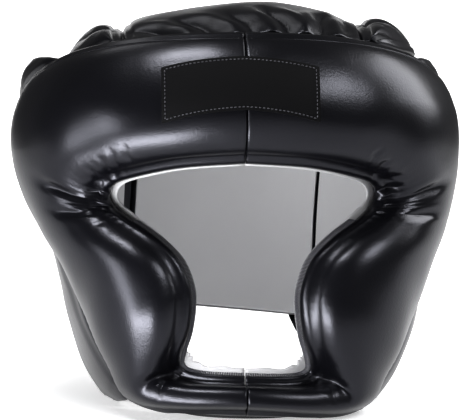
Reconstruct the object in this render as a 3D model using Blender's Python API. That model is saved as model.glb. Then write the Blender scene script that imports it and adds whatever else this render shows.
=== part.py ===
"""Full-face kickboxing headgear of padded black artificial leather.

The guard is worked out upright, as a head wears it: X to the wearer's left, which is
the right of a front view, Y to the back, Z up from the level line of the eye slot.
Everything lies on one wall surface, given by a turn in degrees (-90 at the face,
0 at the ear, 90 at the back) and a height. The finished guard is then leaned back
until it rests on its chin strap and on the lower ends of its ear panels.
"""

import math
from collections import namedtuple

import bmesh
import bpy
from mathutils import Vector

# Inside of the guard, in metres
INSIDE_HALF_WIDTH = 0.106
INSIDE_FRONT = 0.104
INSIDE_BACK = 0.103
BAND_RISE = 0.0925
CHIN_DROP = 0.107
ROUNDNESS = 2.2

# Openings in the mask
EYE_HALF_WIDTH = 0.069
MOUTH_HALF_WIDTH = 0.0265

# Padding and leather
MASK_PAD = 0.028
SIDE_PAD = 0.023
BACK_PAD = 0.020
CROWN_PAD = 0.015
LINING = 0.0014
EDGE_ROLL = 0.0045
LINING_ROLL = 0.0012
LINING_GAP = 0.0014
GAP = 0.0004
SEAM_GAP = 0.0006
REAR_SEAM_GAP = 0.0015

# Back panel and its two slits
BACK_HALF_WIDTH = 0.057
SLIT = 0.0026

# How thick a pad is at its ends, as a share of its full thickness
MASK_EDGE = 0.36
SIDE_END = 0.62
BACK_END = 0.55
CROWN_END = 0.52

# Crown
CROWN_TOP = 0.1032
CROWN_HALF_WIDTH = 0.947 * INSIDE_HALF_WIDTH
CROWN_FRONT = 0.9144 * INSIDE_FRONT
CROWN_BACK = 0.9204 * INSIDE_BACK
CROWN_SEAM = 0.063
CROWN_INSET = 0.985
CROWN_SIDE_TURN = 44

# Patch on the forehead
PATCH_HALF_WIDTH = 0.041
PATCH_SHIFT = -0.003
PATCH_LOW = 0.43
PATCH_HIGH = 0.80
PATCH_DROOP = 0.09
PATCH_THICK = 0.0016
PATCH_LIFT = 0.0006

# Straps
CLOSURE_THICK = 0.003
STRAP_LIFT = 0.0006
CHIN_STRAP_WIDTH = 0.024
CHIN_STRAP_THICK = 0.003

# Ear openings
EAR_HOLE_RADIUS = 0.013
EAR_HOLE_TURN = 10
EAR_HOLE_HEIGHT = -0.10

# How the soft guard sits: its back is twisted, its chin hangs askew, and it leans back
BACK_TWIST_DEG = 5.5
CHIN_TWIST_DEG = 2.5
LEAN_DEG = 3.5
CHEEK_SWAY = 0.0058
CROWN_TILT = 0.075
CROWN_SHIFT = 0.0014
CROWN_BULGE = 0.0078
CROWN_BULGE_AT = -0.073
CROWN_BULGE_REACH = 0.026

# The wall by height: its inside half width and depths, how thick the ear panel is, and how
# much more it is puffed out over the wearer's right ear
Level = namedtuple("Level", "height width front back ear puff")
LEVELS = (
    Level(-1.00, 0.655, 0.923, 0.790, 0.42, 0.00),
    Level(-0.80, 0.735, 0.957, 0.835, 0.62, 0.00),
    Level(-0.60, 0.778, 0.995, 0.880, 0.74, 0.00),
    Level(-0.40, 0.816, 1.000, 0.925, 0.74, 0.00),
    Level(-0.20, 0.860, 0.998, 0.970, 0.78, 0.00),
    Level(0.00, 0.915, 0.998, 1.000, 0.90, 0.00),
    Level(0.20, 0.960, 1.000, 1.000, 1.00, 0.00),
    Level(0.40, 1.000, 1.000, 0.980, 1.00, 0.06),
    Level(0.60, 1.018, 0.995, 0.935, 1.00, 0.22),
    Level(0.80, 1.005, 0.970, 0.860, 0.97, 0.30),
    Level(1.00, 0.930, 0.930, 0.800, 0.92, 0.24),
)

# Sections of the mask from the middle of the forehead round the eye to the chin. eye and
# mouth place the opening's edge across, edge its height; turn and rim place the outer edge.
Section = namedtuple("Section", "eye mouth edge turn rim pad thin")
SECTIONS = (
    Section(0.00, 0.00, 0.260, -90, 1.000, 0.79, 0.40),
    Section(0.48, 0.00, 0.236, -68, 0.986, 0.79, 0.40),
    Section(0.84, 0.00, 0.184, -48, 0.940, 0.86, 0.42),
    Section(0.96, 0.00, 0.146, -31, 0.865, 0.93, 0.46),
    Section(1.00, 0.00, 0.092, -12, 0.724, 0.97, 0.52),
    Section(0.985, 0.0, 0.043, 1, 0.476, 0.97, 0.55),
    Section(0.94, 0.00, 0.005, 0, 0.195, 0.97, 0.55),
    Section(0.83, 0.00, -0.05, -6, -0.038, 0.97, 0.55),
    Section(0.64, 0.00, -0.137, -14, -0.227, 1.00, 0.55),
    Section(0.48, 0.00, -0.246, -21, -0.398, 1.00, 0.55),
    Section(0.00, 1.04, -0.379, -26, -0.540, 1.00, 0.55),
    Section(0.00, 1.02, -0.493, -31, -0.673, 1.00, 0.55),
    Section(0.00, 1.09, -0.616, -37, -0.796, 0.97, 0.55),
    Section(0.00, 1.21, -0.715, -42, -0.920, 0.94, 0.60),
    Section(0.00, 1.23, -0.785, -54, -0.985, 0.88, 0.62),
    Section(0.00, 0.90, -0.812, -69, -1.005, 0.82, 0.62),
    Section(0.00, 0.00, -0.815, -90, -1.000, 0.79, 0.60),
)
SIDE_FIRST = 4
SIDE_LAST = 13

# Ear panel from the mask's seam, at 0, to the slit at the back, at 1
Reach = namedtuple("Reach", "along low high pad")
SIDE_REACH = (
    Reach(0.00, -0.840, 0.880, 0.90),
    Reach(0.15, -0.940, 0.895, 1.00),
    Reach(0.32, -1.005, 0.890, 1.00),
    Reach(0.48, -1.030, 0.870, 1.00),
    Reach(0.62, -1.040, 0.830, 1.00),
    Reach(0.80, -0.900, 0.770, 0.95),
    Reach(1.00, -0.555, 0.700, 0.80),
)

# Rim that the crown sits on, by turn
Rim = namedtuple("Rim", "turn height")
CROWN_RIM = (
    Rim(-90, 0.920),
    Rim(-50, 0.880),
    Rim(-30, 0.820),
    Rim(0, 0.800),
    Rim(30, 0.790),
    Rim(60, 0.730),
    Rim(90, 0.700),
)

# Closure strap round the back, by its turn from ear to ear, with a lobe on one side
Band = namedtuple("Band", "turn low high")
CLOSURE = (
    Band(30, -0.34, 0.02),
    Band(42, -0.54, 0.08),
    Band(52, -0.68, 0.12),
    Band(58, -0.66, 0.13),
    Band(63, -0.56, 0.13),
    Band(69, -0.46, 0.13),
    Band(100, -0.41, 0.13),
    Band(125, -0.40, 0.12),
    Band(142, -0.36, 0.08),
    Band(150, -0.26, 0.00),
)

# Chin strap from the tail of one ear panel, along the floor behind the chin bar, to the
# other: its place seen from above, its height and how far it stands up against the panel
Route = namedtuple("Route", "across back height upright")
CHIN_ROUTE = (
    Route(-1.00, 0.14, 0.36, 1.0),
    Route(-1.00, 0.11, 0.24, 1.0),
    Route(-0.97, 0.04, 0.145, 0.80),
    Route(-0.88, -0.10, 0.100, 0.40),
    Route(-0.75, -0.28, 0.065, 0.10),
    Route(-0.58, -0.48, 0.030, 0.0),
    Route(-0.36, -0.68, 0.004, 0.0),
    Route(-0.10, -0.78, 0.0, 0.0),
    Route(0.22, -0.79, 0.0, 0.0),
    Route(0.46, -0.66, 0.004, 0.0),
    Route(0.64, -0.48, 0.030, 0.0),
    Route(0.79, -0.28, 0.065, 0.10),
    Route(0.90, -0.10, 0.100, 0.40),
    Route(0.97, 0.04, 0.145, 0.80),
    Route(1.00, 0.11, 0.24, 1.0),
    Route(1.00, 0.14, 0.36, 1.0),
)

# Hollows that creases press into the mask: place, reach and depth
Dent = namedtuple("Dent", "side along across reach width depth")
DENTS = (
    Dent(1, 0.300, 0.28, 0.020, 0.16, 0.16),
    Dent(1, 0.400, 0.25, 0.018, 0.14, 0.12),
    Dent(-1, 0.290, 0.26, 0.018, 0.18, 0.16),
    Dent(-1, 0.385, 0.22, 0.020, 0.14, 0.14),
    Dent(1, 0.865, 0.30, 0.020, 0.30, 0.12),
    Dent(-1, 0.855, 0.30, 0.022, 0.30, 0.14),
)

BLACK = (0.012, 0.012, 0.014, 1.0)
WHITE = (0.72, 0.72, 0.73, 1.0)


def mix(a, b, share):
    return a + (b - a) * share


def ease(value, low, high):
    """0 below low, 1 above high, with a smooth rise between."""
    share = min(1.0, max(0.0, (value - low) / (high - low)))
    return share * share * (3 - 2 * share)


def read(rows, key, name, at):
    """The column called name at a value of the column called key, along a smooth curve."""
    keys = [getattr(row, key) for row in rows]
    values = [getattr(row, name) for row in rows]
    return curve(keys, values, at)


def curve(keys, values, at):
    last = len(keys) - 1
    at = min(max(at, keys[0]), keys[-1])
    spot = max(i for i in range(last) if keys[i] <= at or i == 0)
    slopes = []
    for i in (spot, spot + 1):
        before, after = max(i - 1, 0), min(i + 1, last)
        slopes.append((values[after] - values[before]) / (keys[after] - keys[before]))
    step = keys[spot + 1] - keys[spot]
    t = (at - keys[spot]) / step
    return (
        (2 * t**3 - 3 * t**2 + 1) * values[spot]
        + (t**3 - 2 * t**2 + t) * step * slopes[0]
        + (3 * t**2 - 2 * t**3) * values[spot + 1]
        + (t**3 - t**2) * step * slopes[1]
    )


def up(share):
    """Height above the eye line: a share of the band's rise, or below it of the chin's drop."""
    return share * (BAND_RISE if share > 0 else CHIN_DROP)


def share_of(height):
    return height / (BAND_RISE if height > 0 else CHIN_DROP)


def level(height):
    share = share_of(height)
    half = INSIDE_HALF_WIDTH * read(LEVELS, "height", "width", share)
    front = INSIDE_FRONT * read(LEVELS, "height", "front", share)
    back = INSIDE_BACK * read(LEVELS, "height", "back", share)
    return half, front, back


def wall(turn, height):
    """A point on the inside of the guard's wall."""
    half, front, back = level(height)
    across = math.cos(math.radians(turn))
    deep = math.sin(math.radians(turn))
    x = half * math.copysign(abs(across) ** (2 / ROUNDNESS), across)
    y = (back if deep > 0 else front) * math.copysign(abs(deep) ** (2 / ROUNDNESS), deep)
    return Vector((x, y, height))


def turn_at(x, height, side):
    """The turn of the wall point that lies x across, in front (side -1) or behind (1)."""
    half = level(height)[0]
    share = min(1.0, abs(x) / half) ** (ROUNDNESS / 2)
    turn = side * math.degrees(math.acos(share))
    return turn if x >= 0 else side * 180 - turn


def lift(surface, a, b, out):
    """A point at a distance out from a surface given by two parameters."""
    step_a, step_b = surface.steps
    along = surface(a + step_a, b) - surface(a - step_a, b)
    across = surface(a, b + step_b) - surface(a, b - step_b)
    return surface(a, b) + along.cross(across).normalized() * out


wall.steps = (0.5, 0.0005)


def twists(y, z):
    """Angles by which the back of the guard is twisted and its chin hangs askew."""
    back = ease(y, -0.040, 0.090)
    low = ease(-z, 0.010, 0.075) * (1 - back)
    return math.radians(back * BACK_TWIST_DEG), math.radians(low * CHIN_TWIST_DEG)


def slack(z):
    """How freely the twisted back drops on one side: not at its rim, nor down at its tails."""
    return (1 - ease(z, 0.050, 0.090)) * (1 - ease(-z, 0.058, 0.100))


def stand():
    """Height of the eye line over the floor, with the chin strap under the chin bar."""
    lean = math.radians(LEAN_DEG)
    clearance = CHIN_STRAP_THICK + GAP
    return clearance + CHIN_DROP * math.cos(lean) - wall(-90, -CHIN_DROP).y * -math.sin(lean)


def rest(point):
    """Twists the back and the chin as the soft guard sits, and leans it on the floor."""
    x, y, z = point
    twist, askew = twists(y, z)
    sway = CHEEK_SWAY * ease(-z, -0.035, 0.055) * (x / INSIDE_HALF_WIDTH) ** 2
    drop = math.sin(twist) * slack(z) + math.sin(askew)
    x, z = x + z * math.sin(twist) + sway, z - x * drop
    lean = math.radians(LEAN_DEG)
    y, z = (
        y * math.cos(lean) + z * math.sin(lean),
        z * math.cos(lean) - y * math.sin(lean) + stand(),
    )
    return Vector((x, y, max(z, 0.0)))


def over_floor(x, y, height):
    """The upright guard's point that rests at a height over the floor, low down."""
    lean = math.radians(LEAN_DEG)
    twist, askew = twists(y, -CHIN_DROP)
    z = (height - stand() + y * math.sin(lean)) / math.cos(lean)
    return Vector((x, y, z + x * (math.sin(twist) * slack(-CHIN_DROP) + math.sin(askew))))


def dome(share):
    """How the pad's thickness swells between its two edges."""
    return math.sin(math.pi * share**0.74) ** 0.7


def swell(along, end):
    """How the thickness swells along a pad, from the share it has at both its ends."""
    return end + (1 - end) * math.sin(math.pi * along) ** 0.5


def mask_place(section, share):
    """Turn and height of the mask at a section number and a share across it."""
    at = list(range(len(SECTIONS)))

    def column(name):
        return curve(at, [getattr(row, name) for row in SECTIONS], section)

    x = column("eye") * EYE_HALF_WIDTH + column("mouth") * MOUTH_HALF_WIDTH
    low = up(column("edge"))
    start = turn_at(x, low, -1)
    return mix(start, column("turn"), share), mix(low, up(column("rim")), share)


def mask_thickness(section, share, side):
    at = list(range(len(SECTIONS)))
    pad = curve(at, [row.pad for row in SECTIONS], section) * MASK_PAD
    thin = curve(at, [row.thin for row in SECTIONS], section)
    base = mix(MASK_EDGE, thin, share)
    full = base + (1 - base) * dome(share)
    along = section / (len(SECTIONS) - 1)
    for dent in DENTS:
        if dent.side == side:
            near = ((along - dent.along) / dent.reach) ** 2
            near += ((share - dent.across) / dent.width) ** 2
            full -= dent.depth * math.exp(-near)
    return pad * full


def ring(place, thickness, surface, roll, outer_steps, inner_steps, inside=0.0):
    """A closed section of a pad: its swelling outside, its rolled edges and its flat inside.

    place(share) gives the surface's two parameters, thickness(share) the distance out.
    """
    width = (surface(*place(1.0)) - surface(*place(0.0))).length
    inset = min(0.45, roll / width)
    spread = 1 - 2 * inset
    points = []
    for i in range(outer_steps + 1):
        share = i / outer_steps
        spot = place(inset + spread * share)
        points.append(lift(surface, *spot, inside + thickness(share)))
    points.append(lift(surface, *place(1.0), inside + thickness(1.0) / 2))
    for i in range(inner_steps, -1, -1):
        spot = place(inset + spread * i / inner_steps)
        points.append(lift(surface, *spot, inside))
    points.append(lift(surface, *place(0.0), inside + thickness(0.0) / 2))
    return points


def loft(name, rings, colour, roughness, side=1, shift=0.0, slump=None):
    """Skins a row of closed sections into one solid, mirrored for the other side."""
    shape = bmesh.new()
    loops = []
    for points in rings:
        loop = []
        for point in points:
            placed = Vector((side * (point.x + shift), point.y, point.z))
            if slump:
                placed += slump(placed.x)
            loop.append(shape.verts.new(rest(placed)))
        loops.append(loop)
    for first, second in zip(loops, loops[1:]):
        for i in range(len(first)):
            j = (i + 1) % len(first)
            shape.faces.new((first[i], first[j], second[j], second[i]))
    shape.faces.new(loops[0])
    shape.faces.new(reversed(loops[-1]))
    bmesh.ops.recalc_face_normals(shape, faces=shape.faces)
    bmesh.ops.triangulate(shape, faces=shape.faces)
    mesh = bpy.data.meshes.new(name)
    shape.to_mesh(mesh)
    shape.free()
    mesh.shade_smooth()
    mesh.set_sharp_from_angle(angle=math.radians(50))
    mesh.materials.append(finish(colour, roughness))
    solid = bpy.data.objects.new(name, mesh)
    bpy.data.collections["Headgear"].objects.link(solid)
    return solid


def finish(colour, roughness):
    name = "Leather" if colour == BLACK else "Lining"
    material = bpy.data.materials.get(name) or bpy.data.materials.new(name)
    material.use_nodes = True
    shader = material.node_tree.nodes["Principled BSDF"]
    shader.inputs["Base Color"].default_value = colour
    shader.inputs["Roughness"].default_value = roughness
    shader.inputs["Metallic"].default_value = 0.0
    return material


def mask_pad(side, label):
    steps = 3 * (len(SECTIONS) - 1)
    rings = []
    for i in range(steps + 1):
        section = i / 3
        rings.append(
            ring(
                lambda share: mask_place(section, share),
                lambda share: mask_thickness(section, share, side),
                wall,
                EDGE_ROLL,
                8,
                4,
            )
        )
    loft("mask_pad_" + label, rings, BLACK, 0.35, side, SEAM_GAP / 2)


def mask_lining(side, label):
    steps = 3 * (len(SECTIONS) - 1)
    rings = []
    for i in range(steps + 1):
        section = i / 3

        def place(share):
            return mask_place(section, mix(0.0, 0.93, share))

        rings.append(
            ring(place, lambda share: LINING, wall, LINING_ROLL, 4, 4, -LINING - LINING_GAP)
        )
    loft("mask_lining_" + label, rings, WHITE, 0.6, side, SEAM_GAP / 2)


def seam_turn(height):
    """Turn of the mask's rear seam, where the ear panel begins."""
    rows = sorted(SECTIONS[SIDE_FIRST - 1 : SIDE_LAST + 2], key=lambda row: row.rim)
    share = share_of(height)
    return curve([row.rim for row in rows], [row.turn for row in rows], share)


def side_place(along, share):
    low = up(read(SIDE_REACH, "along", "low", along))
    high = up(read(SIDE_REACH, "along", "high", along))
    height = mix(low, high, share)
    gap = math.degrees(REAR_SEAM_GAP / INSIDE_HALF_WIDTH)
    start = seam_turn(height) + gap
    stop = turn_at(BACK_HALF_WIDTH + SLIT / 2, height, 1)
    return mix(start, stop, along), height


def side_thickness(along, share, side=1):
    height = side_place(along, share)[1]
    pad = SIDE_PAD * read(SIDE_REACH, "along", "pad", along)
    pad *= read(LEVELS, "height", "ear", share_of(height))
    if side < 0:
        pad *= 1 + read(LEVELS, "height", "puff", share_of(height)) * ease(along, 0.0, 0.25)
    return pad * swell(along, SIDE_END) * (0.5 + 0.5 * dome(share))


def side_panel(side, label):
    steps = 14
    rings = []
    for i in range(steps + 1):
        along = i / steps
        rings.append(
            ring(
                lambda share: side_place(along, share),
                lambda share: side_thickness(along, share, side),
                wall,
                EDGE_ROLL,
                14,
                8,
            )
        )
    loft("side_panel_" + label, rings, BLACK, 0.35, side)


def side_lining(side, label):
    steps = 14
    rings = []
    for i in range(steps + 1):
        along = i / steps

        def place(share):
            return side_place(along, mix(0.02, 1.0, share))

        rings.append(
            ring(place, lambda share: LINING, wall, LINING_ROLL, 8, 8, -LINING - LINING_GAP)
        )
    loft("side_lining_" + label, rings, WHITE, 0.6, side)


def back_place(along, share):
    low, high = up(SIDE_REACH[-1].low), up(SIDE_REACH[-1].high)
    height = mix(low, high, share)
    half = BACK_HALF_WIDTH - SLIT / 2
    start = turn_at(half, height, 1)
    stop = turn_at(-half, height, 1)
    return mix(start, stop, along), height


def back_panel():
    steps = 12
    pads = []
    linings = []
    for i in range(steps + 1):
        along = i / steps
        ends = swell(along, BACK_END)
        pads.append(
            ring(
                lambda share: back_place(along, share),
                lambda share: BACK_PAD * ends * (0.5 + 0.5 * dome(share)),
                wall,
                EDGE_ROLL,
                8,
                6,
            )
        )
        linings.append(
            ring(
                lambda share: back_place(along, share),
                lambda share: LINING,
                wall,
                LINING_ROLL,
                6,
                6,
                -LINING - SEAM_GAP,
            )
        )
    loft("back_panel", pads, BLACK, 0.35)
    loft("back_lining", linings, WHITE, 0.6)


def crown_spot(x, y):
    """Crown shape over a point of its plan: 1 at the top, 0 at the rim."""
    deep = CROWN_BACK if y > 0 else CROWN_FRONT
    away = abs(x / CROWN_HALF_WIDTH) ** ROUNDNESS + abs(y / deep) ** ROUNDNESS
    turn = math.degrees(math.atan2(y / deep, max(abs(x), 1e-6) / CROWN_HALF_WIDTH))
    rim = up(read(CROWN_RIM, "turn", "height", turn))
    rise = (1 - min(away, 1.0)) ** 0.90
    return Vector((x, y, mix(rim, CROWN_TOP, rise)))


crown_spot.steps = (0.002, 0.002)


def crown_slump(x):
    """How far the soft crown is pushed aside, and up or down, at x across."""
    bulge = math.exp(-(((x - CROWN_BULGE_AT) / CROWN_BULGE_REACH) ** 2))
    return Vector((CROWN_SHIFT, 0.0, CROWN_TILT * x + CROWN_BULGE * bulge))


def crown_edge(x, side):
    """How far the crown reaches to the front (side -1) or the back (1) at x across."""
    deep = CROWN_BACK if side > 0 else CROWN_FRONT
    share = min(0.999, abs(x) / CROWN_HALF_WIDTH)
    return side * deep * (1 - share**ROUNDNESS) ** (1 / ROUNDNESS) * CROWN_INSET


def crown_centre():
    steps = 14
    half = CROWN_SEAM - SEAM_GAP / 2
    rings = []
    for i in range(steps + 1):
        along = i / steps

        def place(share):
            x = mix(-half, half, share)
            return x, mix(crown_edge(x, -1), crown_edge(x, 1), along)

        ends = swell(along, CROWN_END)
        rings.append(
            ring(
                place,
                lambda share: CROWN_PAD * ends * (0.6 + 0.4 * dome(share)),
                crown_spot,
                EDGE_ROLL,
                8,
                4,
            )
        )
    loft("crown_centre", rings, BLACK, 0.35, slump=crown_slump)


def crown_side(side, label):
    steps = 12
    inner = CROWN_SEAM + SEAM_GAP / 2
    rings = []
    for i in range(steps + 1):
        along = i / steps

        def place(share):
            seam_y = mix(crown_edge(inner, -1), crown_edge(inner, 1), along)
            turn = math.radians(mix(-CROWN_SIDE_TURN, CROWN_SIDE_TURN, along))
            deep = CROWN_BACK if turn > 0 else CROWN_FRONT
            rim_x = CROWN_HALF_WIDTH * math.cos(turn) ** (2 / ROUNDNESS) * CROWN_INSET
            rim_y = math.copysign(abs(math.sin(turn)) ** (2 / ROUNDNESS), turn) * deep
            rim_y *= CROWN_INSET
            return mix(inner, rim_x, share), mix(seam_y, rim_y, share)

        ends = swell(along, CROWN_END)
        rings.append(
            ring(
                place,
                lambda share: CROWN_PAD * ends * (0.6 + 0.4 * dome(share)),
                crown_spot,
                EDGE_ROLL,
                6,
                3,
            )
        )
    loft("crown_" + label, rings, BLACK, 0.35, side, slump=crown_slump)


def patch_place(x, share, out):
    """A point over the forehead, x across and a share up the band."""
    side = 1 if x >= 0 else -1
    section = 0.0
    for _ in range(20):
        place = mask_place(section, share)
        point = lift(wall, *place, mask_thickness(section, share, side) + out)
        section = min(max(section + (abs(x) - point.x) / 0.045, 0.0), 3.0)
    return Vector((x, point.y, point.z))


def label_patch():
    steps, rows = 12, 4
    rings = []
    for i in range(steps + 1):
        across = mix(-1, 1, i / steps)
        x = PATCH_SHIFT + across * PATCH_HALF_WIDTH
        droop = PATCH_DROOP * across**2
        shares = [mix(PATCH_LOW, PATCH_HIGH, j / rows) - droop for j in range(rows + 1)]
        top = [patch_place(x, share, PATCH_LIFT + PATCH_THICK) for share in shares]
        under = [patch_place(x, share, PATCH_LIFT) for share in reversed(shares)]
        rings.append(top + under)
    loft("label_patch", rings, BLACK, 0.6)


def pad_over(turn, height):
    """How thick the ear or back panel is at a place of the wall, as if no slit parted them."""
    turn = min(turn, 180 - turn)
    slit = turn_at(BACK_HALF_WIDTH, height, 1)
    if turn > slit:
        low, high = up(SIDE_REACH[-1].low), up(SIDE_REACH[-1].high)
        share = min(1.0, max(0.0, (height - low) / (high - low)))
        return BACK_PAD * (0.5 + 0.5 * dome(share))
    along = (turn - seam_turn(height)) / (slit - seam_turn(height))
    low = up(read(SIDE_REACH, "along", "low", along))
    high = up(read(SIDE_REACH, "along", "high", along))
    share = min(1.0, max(0.0, (height - low) / (high - low)))
    return side_thickness(min(along, 0.9), share)


def closure_strap():
    steps = 18
    rings = []
    for i in range(steps + 1):
        turn = mix(CLOSURE[0].turn, CLOSURE[-1].turn, i / steps)
        low = up(read(CLOSURE, "turn", "low", turn))
        high = up(read(CLOSURE, "turn", "high", turn))
        outer, inner = [], []
        for j in range(7):
            height = mix(low, high, j / 6)
            under = max(pad_over(turn + aside, height) for aside in (-9, -4, 0, 4, 9))
            under += STRAP_LIFT
            outer.append(lift(wall, turn, height, under + CLOSURE_THICK))
            inner.append(lift(wall, turn, height, under))
        rings.append(outer + inner[::-1])
    loft("closure_strap", rings, BLACK, 0.6)


def chin_place(at):
    """Centre line of the chin strap at a row number, with how upright it stands there."""
    rows = list(range(len(CHIN_ROUTE)))

    def column(name):
        return curve(rows, [getattr(row, name) for row in CHIN_ROUTE], at)

    half = level(-CHIN_DROP)[0] - LINING - CHIN_STRAP_THICK - 3 * GAP
    upright = column("upright")
    rise = max(0.0, column("height")) * CHIN_DROP
    x = column("across") * half
    y = column("back") * INSIDE_FRONT
    return x, y, rise, upright


def chin_strap():
    steps = 3 * (len(CHIN_ROUTE) - 1)
    half = CHIN_STRAP_WIDTH / 2
    rings = []
    for i in range(steps + 1):
        at = i / 3
        x, y, rise, upright = chin_place(at)
        ahead, behind = chin_place(at + 0.1), chin_place(at - 0.1)
        flow = Vector((ahead[0] - behind[0], ahead[1] - behind[1], 0)).normalized()
        flat_width = Vector((0, 0, 1)).cross(flow)
        side = 1 if x > 0 else -1
        width = flat_width.lerp(Vector((0, 1, 0)) * side, min(1.0, upright)).normalized()
        facing = Vector((0, 0, 1)).lerp(Vector((-side, 0, 0)), min(1.0, upright))
        facing.normalize()
        centre = Vector((x, y, rise))
        ring_points = []
        for across, out in ((-1, 0), (1, 0), (1, 1), (-1, 1)):
            spot = centre + width * across * half + facing * out * CHIN_STRAP_THICK
            ring_points.append(over_floor(spot.x, spot.y, max(spot.z, 0.0)))
        rings.append(ring_points)
    loft("chin_strap", rings, BLACK, 0.6)


def cut_ear_holes(solids):
    """A round opening over each ear, through the panel and its lining."""
    cutters = bpy.data.collections.new("Cutters")
    bpy.context.scene.collection.children.link(cutters)
    for side, label in ((1, "left"), (-1, "right")):
        height = up(EAR_HOLE_HEIGHT)
        inner = lift(wall, EAR_HOLE_TURN, height, -SIDE_PAD)
        outer = lift(wall, EAR_HOLE_TURN, height, 2 * SIDE_PAD)
        inner = rest(Vector((side * inner.x, inner.y, inner.z)))
        outer = rest(Vector((side * outer.x, outer.y, outer.z)))
        bpy.ops.mesh.primitive_cylinder_add(
            vertices=24,
            radius=EAR_HOLE_RADIUS,
            depth=(outer - inner).length,
            location=(inner + outer) / 2,
            rotation=(outer - inner).to_track_quat("Z", "Y").to_euler(),
        )
        cutter = bpy.context.object
        cutter.name = "ear_hole_cutter_" + label
        for group in list(cutter.users_collection):
            group.objects.unlink(cutter)
        cutters.objects.link(cutter)
        cutter.hide_render = True
        cutter.display_type = "WIRE"
        for name in ("side_panel_", "side_lining_"):
            cut = solids[name + label].modifiers.new("ear hole", "BOOLEAN")
            cut.operation = "DIFFERENCE"
            cut.object = cutter


def stand_on_origin(objects):
    """Moves everything so that the origin lies under the middle of the guard."""
    bpy.context.view_layer.update()
    solids = [item for item in objects if not item.hide_render]
    corners = [vertex.co for item in solids for vertex in item.data.vertices]
    middle_x = (min(c.x for c in corners) + max(c.x for c in corners)) / 2
    middle_y = (min(c.y for c in corners) + max(c.y for c in corners)) / 2
    for item in objects:
        item.location -= Vector((middle_x, middle_y, 0))


def main():
    for old in list(bpy.data.objects):
        bpy.data.objects.remove(old)
    group = bpy.data.collections.new("Headgear")
    bpy.context.scene.collection.children.link(group)
    for side, label in ((1, "left"), (-1, "right")):
        mask_pad(side, label)
        mask_lining(side, label)
        side_panel(side, label)
        side_lining(side, label)
        crown_side(side, label)
    back_panel()
    crown_centre()
    label_patch()
    closure_strap()
    chin_strap()
    cut_ear_holes(bpy.data.objects)
    stand_on_origin(list(bpy.data.objects))


main()
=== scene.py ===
"""Looks of a padded kickboxing headgear in black artificial leather with a light lining.

X is the wearer's left, Y the back of the head, Z up; metres throughout.
"""

import math
from collections import namedtuple

import bmesh
import bpy
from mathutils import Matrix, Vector, noise


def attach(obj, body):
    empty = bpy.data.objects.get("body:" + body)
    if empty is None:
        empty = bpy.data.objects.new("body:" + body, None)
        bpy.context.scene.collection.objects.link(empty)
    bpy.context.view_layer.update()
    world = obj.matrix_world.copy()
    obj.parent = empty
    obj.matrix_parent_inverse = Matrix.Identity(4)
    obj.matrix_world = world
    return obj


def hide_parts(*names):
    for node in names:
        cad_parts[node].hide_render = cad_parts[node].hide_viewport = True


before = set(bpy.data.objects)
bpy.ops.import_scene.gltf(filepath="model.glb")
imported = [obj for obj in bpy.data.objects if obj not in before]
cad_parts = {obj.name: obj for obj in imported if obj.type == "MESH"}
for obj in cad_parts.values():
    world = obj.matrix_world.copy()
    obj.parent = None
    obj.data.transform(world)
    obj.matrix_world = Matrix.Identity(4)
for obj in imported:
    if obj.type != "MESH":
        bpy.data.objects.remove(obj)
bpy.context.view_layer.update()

# MASK PADS
# The front of the guard: forehead band, cheeks and chin bar, in two mirrored halves of foam
# in black artificial leather. They meet in a sewn seam at the forehead and at the chin, and
# their leather is gathered where it is pulled round the corners of the eye slot.

INSIDE_HALF_WIDTH = 0.106
INSIDE_FRONT = 0.104
INSIDE_BACK = 0.103
BAND_RISE = 0.0925
CHIN_DROP = 0.107
ROUNDNESS = 2.2
EYE_HALF_WIDTH = 0.069
MOUTH_HALF_WIDTH = 0.0265
MASK_PAD = 0.028
MASK_EDGE = 0.36
CHIN_EDGE = 0.12
CHIN_RISE = 0.0045
EDGE_ROLL = 0.0045
GAP = 0.0004
SEAM_GAP = 0.0006
CHIN_STRAP_THICK = 0.003
BACK_TWIST_DEG = 5.5
CHIN_TWIST_DEG = 2.5
LEAN_DEG = 3.5
CHEEK_SWAY = 0.0058
MIDDLE = Vector((0.00008, 0.00048, 0.0))

# Where the twist, the skew and the sway of the slack guard set in and reach their full measure
TWISTS = (-0.040, 0.090)
SKEWS = (0.010, 0.075)
SWAYS = (-0.035, 0.055)
SLACK_ABOVE = (0.050, 0.090)
SLACK_BELOW = (0.058, 0.100)

Level = namedtuple("Level", "height width front back ear puff")
LEVELS = (
    Level(-1.00, 0.655, 0.923, 0.790, 0.42, 0.00),
    Level(-0.80, 0.735, 0.957, 0.835, 0.62, 0.00),
    Level(-0.60, 0.778, 0.995, 0.880, 0.74, 0.00),
    Level(-0.40, 0.816, 1.000, 0.925, 0.74, 0.00),
    Level(-0.20, 0.860, 0.998, 0.970, 0.78, 0.00),
    Level(0.00, 0.915, 0.998, 1.000, 0.90, 0.00),
    Level(0.20, 0.960, 1.000, 1.000, 1.00, 0.00),
    Level(0.40, 1.000, 1.000, 0.980, 1.00, 0.06),
    Level(0.60, 1.018, 0.995, 0.935, 1.00, 0.22),
    Level(0.80, 1.005, 0.970, 0.860, 0.97, 0.30),
    Level(1.00, 0.930, 0.930, 0.800, 0.92, 0.24),
)

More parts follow.
